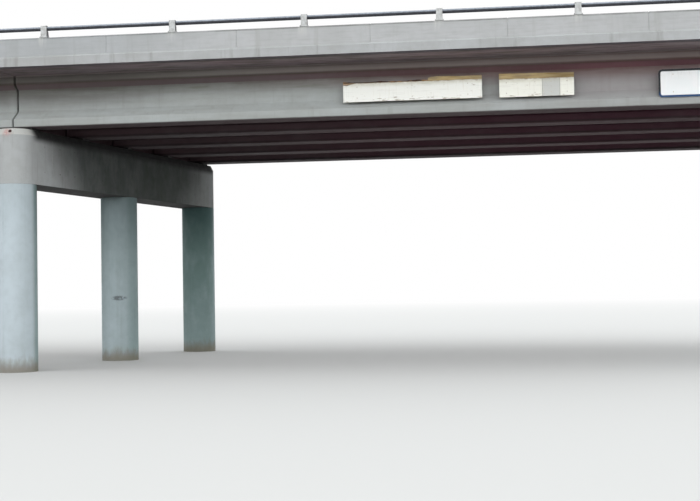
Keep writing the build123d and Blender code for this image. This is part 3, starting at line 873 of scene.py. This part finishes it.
galvanised = new_finish("galvanised steel")
place = own_place()[0]
spangle = put("TexVoronoi", {"Vector": place, "Scale": 70})["Color"]
face = use(cast_metal, Tone=(150, 154, 156), Stain=(112, 110, 104), Amount=0.6)
colour = put("Mix", {0: 0.12, 6: face["Color"], 7: spangle}, data_type="RGBA", blend_type="OVERLAY")[2]
rusting = step(clouds(place, 0.05, 5), 0.56, 0.72) * 0.7
lay_on(stained(colour, (rusting, (132, 84, 58))), face["Roughness"], face["Height"], 0.001,
       step(rusting, 0, 0.5, 0.7, 0.1))

for side, sign in (("near", -1), ("far", 1)):
    node = f"{side}_rail_posts"
    low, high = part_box(node)
    outer_y = low.y + BASE_MARGIN if sign < 0 else high.y - BASE_MARGIN
    body, nuts = bmesh.new(), bmesh.new()
    for span_side in (-1, 1):
        for number in range(POST_BAYS + 1):
            x = (low.x + high.x) / 2 + span_side * (POST_FROM_JOINT + number * POST_PITCH)
            cast_post(body, x, outer_y, -sign, low.z)
            for w in NUTS_ALONG:
                for inward in NUTS_INWARD:
                    seat = Vector((x + w, outer_y - sign * inward, low.z + BASE_THICKNESS))
                    hex_bolt(nuts, seat, Vector((0, 0, 1)), 0.007, 0.01)
    cast(f"{side}_rail_posts_cast", body, post_metal, "rail_aluminium", node, arris=0.002)
    cast(f"{side}_rail_post_nuts", nuts, galvanised, "bracket_steel")

# Rail tubes, extruded in aluminium and slid into the posts' seats. The lengths meet
# on an inner sleeve, which shows as a narrow gap, and over the middle pier a wider
# sleeve lets them slide.

rail_metal = new_finish("rail tube")
looks = facing()
face = use(cast_metal, Tone=(166, 174, 186), Stain=(132, 138, 148), Amount=0.5)
shaded = step(looks[2], 0.45, -0.1, 0, 0.93)  # painted shade: the underside nearly black
lay_face(face, 0.0006, (shaded, (36, 35, 42)), metallic=0.2)

TUBE_WALL, SPLICE_GAP, SLEEVE_LENGTH, SLEEVE_WALL = 0.005, 0.008, 0.48, 0.004
SPLICE_SHARE = 0.78  # how far past its post a splice lies, in bays
TURNS = [2 * math.pi * i / 40 for i in range(40)]
for side in ("near", "far"):
    node = f"{side}_rail"
    low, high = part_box(node)
    centre = (low + high) / 2
    stations = [(low.x, -TUBE_WALL), (low.x, 0.0)]
    splices = [centre.x + s * (POST_FROM_JOINT + (n + SPLICE_SHARE) * POST_PITCH)
               for s in (-1, 1) for n in (1, 3)]
    for splice in sorted(splices + [centre.x]):
        grow, half = -TUBE_WALL, SPLICE_GAP / 2
        if splice == centre.x:
            grow, half = SLEEVE_WALL, SLEEVE_LENGTH / 2
        stations += [(splice - half, 0.0), (splice - half, grow), (splice + half, grow), (splice + half, 0.0)]
    stations += [(high.x, 0.0), (high.x, -TUBE_WALL)]
    body = bmesh.new()
    skin(body, [[(x, *tube_point(centre.y, centre.z, grow, a)) for a in TURNS] for x, grow in stations],
         hollow=True)  # the bore joins the two ends
    cast(f"{side}_rail_tube", body, rail_metal, "rail_aluminium", node, smooth_below=30)

# Clearance boards of painted plywood, screwed to the brackets' bars through the
# face. They are left blank. Sun has chalked the cream paint, and it flakes along
# the grain, first at the edges.

wide_low, wide_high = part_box("wide_sign_board")
height_low, height_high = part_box("height_sign_board")
painted_ply, taken = effect("painted plywood", {
    "Paint": (244, 244, 232), "Wood": (150, 132, 104), "Grey": (132, 128, 118), "Top": 5.9, "Flaking": 0.5})
place, along, across, up = own_place()
from_top = taken["Top"] - up
grain = clouds(place, 0.02, 5, (18, 1, 1))
chips = clouds(place, 0.035, 6, (4, 1, 1))
worst = larger(step(from_top, 0.3, 0.38), step(from_top, 0, 0.05, 1, 0)) * 0.12 + chips
flaked = step(worst, 0.66, 0.69) * taken["Flaking"]
layer = worked_out("PINGPONG", across, 0.0022)
plies = stained(taken["Wood"], (step(layer, 0.0008, 0.0014), taken["Grey"]),
                (step(grain, 0.45, 0.6, 0, 0.4), (84, 68, 50)))
# Dirt with painted shade along the top of the board, under the overhang
top_dirt_and_shade = step(from_top, 0, 0.12, 1, 0) * step(clouds(place, 0.1, 5, (1.5, 1, 1)), 0.25, 0.6, 0.25, 0.6)
streaky = step(clouds(place, 0.03, 4, (1, 1, 14)), 0.56, 0.72, 0, 0.18)
ragged = clouds(place, 0.11, 4, (1.5, 1, 1))
left_corner = step(along, wide_low.x + 0.3, wide_low.x, 0, 0.06)  # most is gone at this corner
peeled_depth = step(ragged, 0.38, 0.7, 0.004, 0.016) + left_corner * ragged
peeled = worked_out("LESS_THAN", from_top, peeled_depth) * 0.8
torn = peeled * step(from_top, peeled_depth * 0.4, peeled_depth)
paint = stained(taken["Paint"], (top_dirt_and_shade, (186, 180, 154)), (streaky, (188, 176, 148)),
                (step(grain, 0.55, 0.75, 0, 0.2), taken["Grey"]), (flaked, taken["Wood"]),
                (peeled, (170, 132, 86)), (torn, (62, 38, 28)))
front = step(facing()[1], -0.6, -0.85)
hand_out(Color=stained(plies, (front, paint)), Roughness=step(flaked, 0, 0.5, 0.62, 0.9),
         Height=grain * 0.3 - flaked)

board_finishes = {}
BOARD_PAINTS = (("cream", (255, 255, 248), wide_high.z), ("ivory", (255, 254, 243), height_high.z),
                ("grey", (212, 213, 208), height_high.z))
for label, paint, top in BOARD_PAINTS:
    board_finishes[label] = new_finish(f"{label} board paint")
    lay_face(use(painted_ply, Paint=paint, Top=top, Flaking=0.5), 0.001)

screws = two_toned("painted screw heads", (226, 224, 214), (190, 176, 156),
                   (0.01, 4), (0.35, 0.65), (0.5, 0.9), 0.0005)


def upright_ring(x, y, z, width, height, corner, steps):
    """A rectangle's outline, standing upright, with its corners rounded in this many steps."""
    return [(x + u, y, z + v) for u, v, _ in squared_ring(0, 0, width, height, 0, corner, steps)]


def upright_slab(body, x, z, width, height, front, back, corner, steps=3):
    skin(body, [upright_ring(x, y, z, width, height, corner, steps) for y in (front, back)])


def panel(name, low, high, finish, slot, node, arris=0.003, corner=0.006):
    """A board that hangs upright between these two corners."""
    centre, size = (low + high) / 2, high - low
    body = bmesh.new()
    upright_slab(body, centre.x, centre.z, size.x, size.z, low.y, high.y, corner, 4)
    cast(name, body, finish, slot, node, arris=arris, smooth_below=50)


BAR_INSET, PANEL_INSET = 0.3, 0.15
PANEL_LENGTHS, PANEL_GAP = (0.896, 0.364, 0.29), 0.004
panel("wide_board_plywood", wide_low, wide_high, board_finishes["cream"], "board_paint", "wide_sign_board")
wide_bars = (wide_low.x + BAR_INSET, (wide_low.x + wide_high.x) / 2, wide_high.x - BAR_INSET)
bar_places = [(x, wide_low, wide_high) for x in wide_bars]  # each with its board's two corners
panel_x = height_low.x
for label, paint, length in zip(("long", "middle", "last"), ("ivory", "grey", "ivory"), PANEL_LENGTHS):
    low, high = height_low.copy(), height_high.copy()
    low.x, high.x = panel_x, panel_x + length
    name = f"height_board_{label}_plywood"
    panel(name, low, high, board_finishes[paint], "board_paint", "height_sign_board")
    bars = (low.x + PANEL_INSET, high.x - PANEL_INSET) if label == "long" else ((low.x + high.x) / 2,)
    bar_places += [(x, low, high) for x in bars]
    panel_x += length + PANEL_GAP

# Backing planks, bare softwood nailed to the backs of the plywood boards. Their
# upper part shows above the boards, grey-brown from the weather, with open grain.

plank_wood = new_finish("bare plank")
place, along, across, up = own_place()
rings_of_growth = clouds(place, 0.012, 6, (40, 1, 1))
streaked = step(clouds(place, 0.2, 4, (3, 1, 1)), 0.4, 0.7, 0, 0.5)
lengthened = put("Mapping", {"Vector": place, "Scale": (2.2, 1, 9)})[0]
knots = put("TexVoronoi", {"Vector": lengthened, "Scale": 1})["Distance"]
colour = stained((208, 186, 136), (step(rings_of_growth, 0.35, 0.65), (162, 134, 88)),
                 (streaked, (138, 132, 118)), (step(knots, 0.05, 0.13, 0.8, 0), (74, 54, 38)),
                 (step(along, 10.4, 11, 0, 0.45), (98, 80, 46)))
lay_on(colour, step(rings_of_growth, 0.3, 0.7, 0.75, 0.95), rings_of_growth, 0.002)


def plank(name, outline, back, front, finish, *nodes):
    """A plank from its outline, along and up."""
    body = bmesh.new()
    skin(body, [[(x, y, z) for x, z in outline] for y in (back, front)])
    cast(name, body, finish, "bare_timber", *nodes, arris=0.002, smooth_below=30)


chance = random.Random(7)
# How far the top edge lies under the plank's full height, from its left end to its right end
BROKEN_EDGES = {"wide": ((0.0, 0.03), (0.04, 0.008), (0.2, 0.0), (0.6, 0.012), (1.0, 0.006)),
                "height": ((0.0, 0.0), (0.45, 0.006), (1.0, 0.026))}
for board, broken in BROKEN_EDGES.items():
    low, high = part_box(f"{board}_sign_backing_plank")
    outline = [(low.x, low.z), (high.x, low.z)]
    for share in (i / 40 for i in range(40, -1, -1)):
        for (first, drop), (last, next_drop) in zip(broken, broken[1:]):
            if first <= share <= last:
                under = drop + (next_drop - drop) * (share - first) / (last - first)
        outline.append((low.x + (high.x - low.x) * share, high.z - under - chance.uniform(0.0, 0.005)))
    plank(f"{board}_board_backing_plank", outline, low.y, high.y, plank_wood, f"{board}_sign_backing_plank")

# Over the rest of the wide board the edge of an older plank barely shows, dark and
# rotten, with some of the first orange left.

old_wood = new_finish("rotten plank")
place = own_place()[0]
fibres = clouds(place, 0.012, 6, (30, 1, 1))
sound = step(clouds(place, 0.22, 3, (1.5, 1, 0.5)), 0.5, 0.6)
lay_on(stained((66, 44, 36), (sound, (176, 132, 78)), (step(fibres, 0.4, 0.65, 0, 0.5), (48, 34, 28))),
       0.92, fibres, 0.003)

new_low, new_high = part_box("wide_sign_backing_plank")
OLD_RISE, OLD_ROT = 0.038, 0.02  # how far it shows above the board, and how much of that has rotted in places
outline = [(wide_low.x, new_low.z), (new_low.x, new_low.z)]
for share in (i / 60 for i in range(60, -1, -1)):
    rotted = OLD_ROT * abs(math.sin(2.3 * math.pi * share)) + chance.uniform(0.0, 0.006)
    outline.append((wide_low.x + (new_low.x - wide_low.x) * share, wide_high.z + OLD_RISE - rotted))
plank("wide_board_old_plank", outline, new_low.y, new_high.y, old_wood)

# Guide board: a sheet of aluminium with round corners, faced with white sheeting
# inside a blue border. It is left blank too.

CORNER, BORDER = 0.085, 0.046
FILM_BED, BORDER_FILM, FIELD_FILM = 0.0002, 0.0006, 0.0005  # into the sheet, and out of it
guide_low, guide_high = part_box("guide_sign_board")
guide_size, guide_centre = guide_high - guide_low, (guide_low + guide_high) / 2

sheeting, taken = effect("aged sheeting", {"Tone": (254, 255, 255), "Faded": (244, 251, 251), "Top": 6.1})
place, along, across, up = own_place()
film = step(clouds(place, 0.3, 5), 0.35, 0.7)
dirt = step(taken["Top"] - up, 0, 0.25, 1, 0.15) * step(clouds(place, 0.03, 5, (1, 1, 12)), 0.5, 0.75)
hand_out(Color=stained(taken["Tone"], (film * 0.4, taken["Faded"]), (dirt * 0.2, (164, 158, 142))),
         Roughness=step(film, 0, 1, 0.35, 0.6), Height=film)

white_film = new_finish("white sheeting")
lay_face(use(sheeting, Top=guide_high.z), 0.0003)
blue_film = new_finish("blue sheeting")
place, along, across, up = own_place()
face = use(sheeting, Tone=(16, 66, 118), Faded=(28, 76, 122), Top=guide_high.z)
# The border goes nearly black above its foot
darker_above_foot = step(up, guide_low.z + 0.03, guide_low.z + 0.16, 0, 0.97)
lay_face(face, 0.0003, (darker_above_foot, (14, 20, 22)))
bare_sheet = new_finish("bare sheet aluminium")
lay_face(use(cast_metal, Tone=(176, 180, 182), Stain=(134, 134, 130), Amount=0.4), 0.0005, metallic=0.7)

panel("guide_board_sheet", guide_low, guide_high, bare_sheet, "guide_paint", "guide_sign_board",
      arris=0.001, corner=CORNER)
border, rings = bmesh.new(), []
for inset, out in ((0.002, -FILM_BED), (0.002, BORDER_FILM), (BORDER, BORDER_FILM), (BORDER, -FILM_BED)):
    rings.append(upright_ring(guide_centre.x, guide_low.y - out, guide_centre.z, guide_size.x - 2 * inset,
                              guide_size.z - 2 * inset, max(CORNER - inset, 0.006), 8))
skin(border, rings, hollow=True)
cast("guide_board_border", border, blue_film, "guide_paint", smooth_below=20)
field = bmesh.new()
upright_slab(field, guide_centre.x, guide_centre.z, guide_size.x - 2 * BORDER, guide_size.z - 2 * BORDER,
             guide_low.y - FIELD_FILM, guide_low.y + FILM_BED, 0.01, 6)
cast("guide_board_field", field, white_film, "guide_paint")

# Brackets of galvanised steel: a foot plate bolted to the girder's web, an arm
# welded to it, and an upright flat bar that the board is screwed to.

guide_bars = (guide_low.x + BAR_INSET, guide_centre.x, guide_high.x - BAR_INSET)
bar_places += [(x, guide_low, guide_high) for x in guide_bars]
bracket_low, bracket_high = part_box("sign_brackets")
BAR_WIDTH, BAR_THICKNESS, BAR_MARGIN = 0.06, 0.01, 0.04
ARM_WIDTH, ARM_HEIGHT, ARM_RISE, WELD = 0.05, 0.08, 0.53, 0.006
FOOT_SIZE, FOOT_THICKNESS, FOOT_BOLTS = 0.14, 0.01, (-0.05, 0.05)

arm_z = girder_low.z + ARM_RISE
bar_front, bar_back = bracket_low.y, bracket_low.y + BAR_THICKNESS
foot_front, foot_back = bracket_high.y - FOOT_THICKNESS, bracket_high.y
to_front, to_web = Vector((0, -1, 0)), Vector((0, 1, 0))
body, bolts, heads = bmesh.new(), bmesh.new(), bmesh.new()
for x, low, high in bar_places:
    middle_z = (low.z + high.z) / 2
    bar_height = high.z - low.z - 2 * BAR_MARGIN
    upright_slab(body, x, middle_z, BAR_WIDTH, bar_height, bar_front, bar_back, 0.004)
    upright_slab(body, x, arm_z, ARM_WIDTH, ARM_HEIGHT, bar_back, foot_front, 0.008)
    upright_slab(body, x, arm_z, FOOT_SIZE, FOOT_SIZE, foot_front, foot_back, 0.012)
    for y, out in ((foot_front - WELD, 0.006), (bar_back, 0.004)):
        upright_slab(body, x, arm_z, ARM_WIDTH + 2 * out, ARM_HEIGHT + 2 * out, y, y + WELD, 0.011)
    for u in FOOT_BOLTS:
        for v in FOOT_BOLTS:
            hex_bolt(bolts, Vector((x + u, foot_front, arm_z + v)), to_front, 0.0085, 0.009)
    for v in (-bar_height * 0.36, bar_height * 0.36):
        disc(heads, Vector((x, low.y, middle_z + v)), to_front, 0.011, 0.004, 14, 0.6)
        hex_bolt(bolts, Vector((x, bar_back, middle_z + v)), to_web, 0.0075, 0.007)
cast("sign_brackets_welded", body, galvanised, "bracket_steel", "sign_brackets", arris=0.0015)
cast("sign_bracket_nuts", bolts, galvanised, "bracket_steel")
cast("sign_board_screw_heads", heads, screws, "bracket_steel")

# Floor, sky and camera. The floor is plain and pale, and fades to white far off.
# The camera stands on the ground ahead of the overpass, looking a little up at it.

FLOOR_RADIUS = 600
floor_mesh = bpy.data.meshes.new("floor")
body = bmesh.new()
bmesh.ops.create_circle(body, cap_ends=True, radius=FLOOR_RADIUS, segments=96)
body.to_mesh(floor_mesh)
body.free()
floor = bpy.data.objects.new("floor", floor_mesh)
bpy.context.scene.collection.objects.link(floor)


def seen_rays():
    """1 for the rays that show a thing, by eye, in a mirror or through glass. The rest light it."""
    rays = put("LightPath", {})
    return larger(rays["Is Camera Ray"], rays["Is Glossy Ray"], rays["Is Transmission Ray"])


WHITE = {"Color": (1, 1, 1, 1), "Strength": 1}
floor_finish = new_finish("pale floor")
tree.nodes.clear()
place = own_place()[0]
distance = put("VectorMath", {0: place}, operation="LENGTH")["Value"]
seen = seen_rays()
matt = put("BsdfDiffuse", {"Color": stained((0.22, 0.215, 0.21, 1), (seen, (0.70, 0.70, 0.69, 1)))})[0]
haze = put("Emission", WHITE)[0]
surface = put("MixShader", {0: step(distance, 25, 150) * seen, 1: matt, 2: haze})[0]
put("OutputMaterial", {"Surface": surface})
floor_mesh.materials.append(floor_finish)

sky = bpy.data.worlds.new("soft sky")
bpy.context.scene.world = sky
sky.use_nodes = True
tree = sky.node_tree
tree.nodes.clear()
upward = put("SeparateXYZ", {0: put("TexCoord", {})["Generated"]})[2]
lowness = 1 - larger(upward, 0)
brightness = worked_out("POWER", lowness, 1.5) * 2.5 + 0.7
light = put("Background", {"Color": (0.97, 0.99, 1, 1), "Strength": brightness})[0]
white = put("Background", WHITE)[0]
put("OutputWorld", {"Surface": put("MixShader", {0: seen_rays(), 1: light, 2: white})[0]})

camera = bpy.data.objects.new("camera", bpy.data.cameras.new("camera"))
bpy.context.scene.collection.objects.link(camera)
camera.data.sensor_width = 36.0
camera.data.lens = 62.74
camera.data.clip_end = 2000.0
camera.location = (9.596, -30.25, 1.645)
yaw, pitch, roll = math.radians(6.891), math.radians(1.925), math.radians(-0.972)
aim = Euler((math.pi / 2 + pitch, 0.0, yaw)).to_quaternion() @ Euler((0.0, 0.0, roll)).to_quaternion()
camera.rotation_euler = aim.to_euler()
bpy.context.scene.camera = camera
bpy.context.scene.view_settings.view_transform = "Standard"
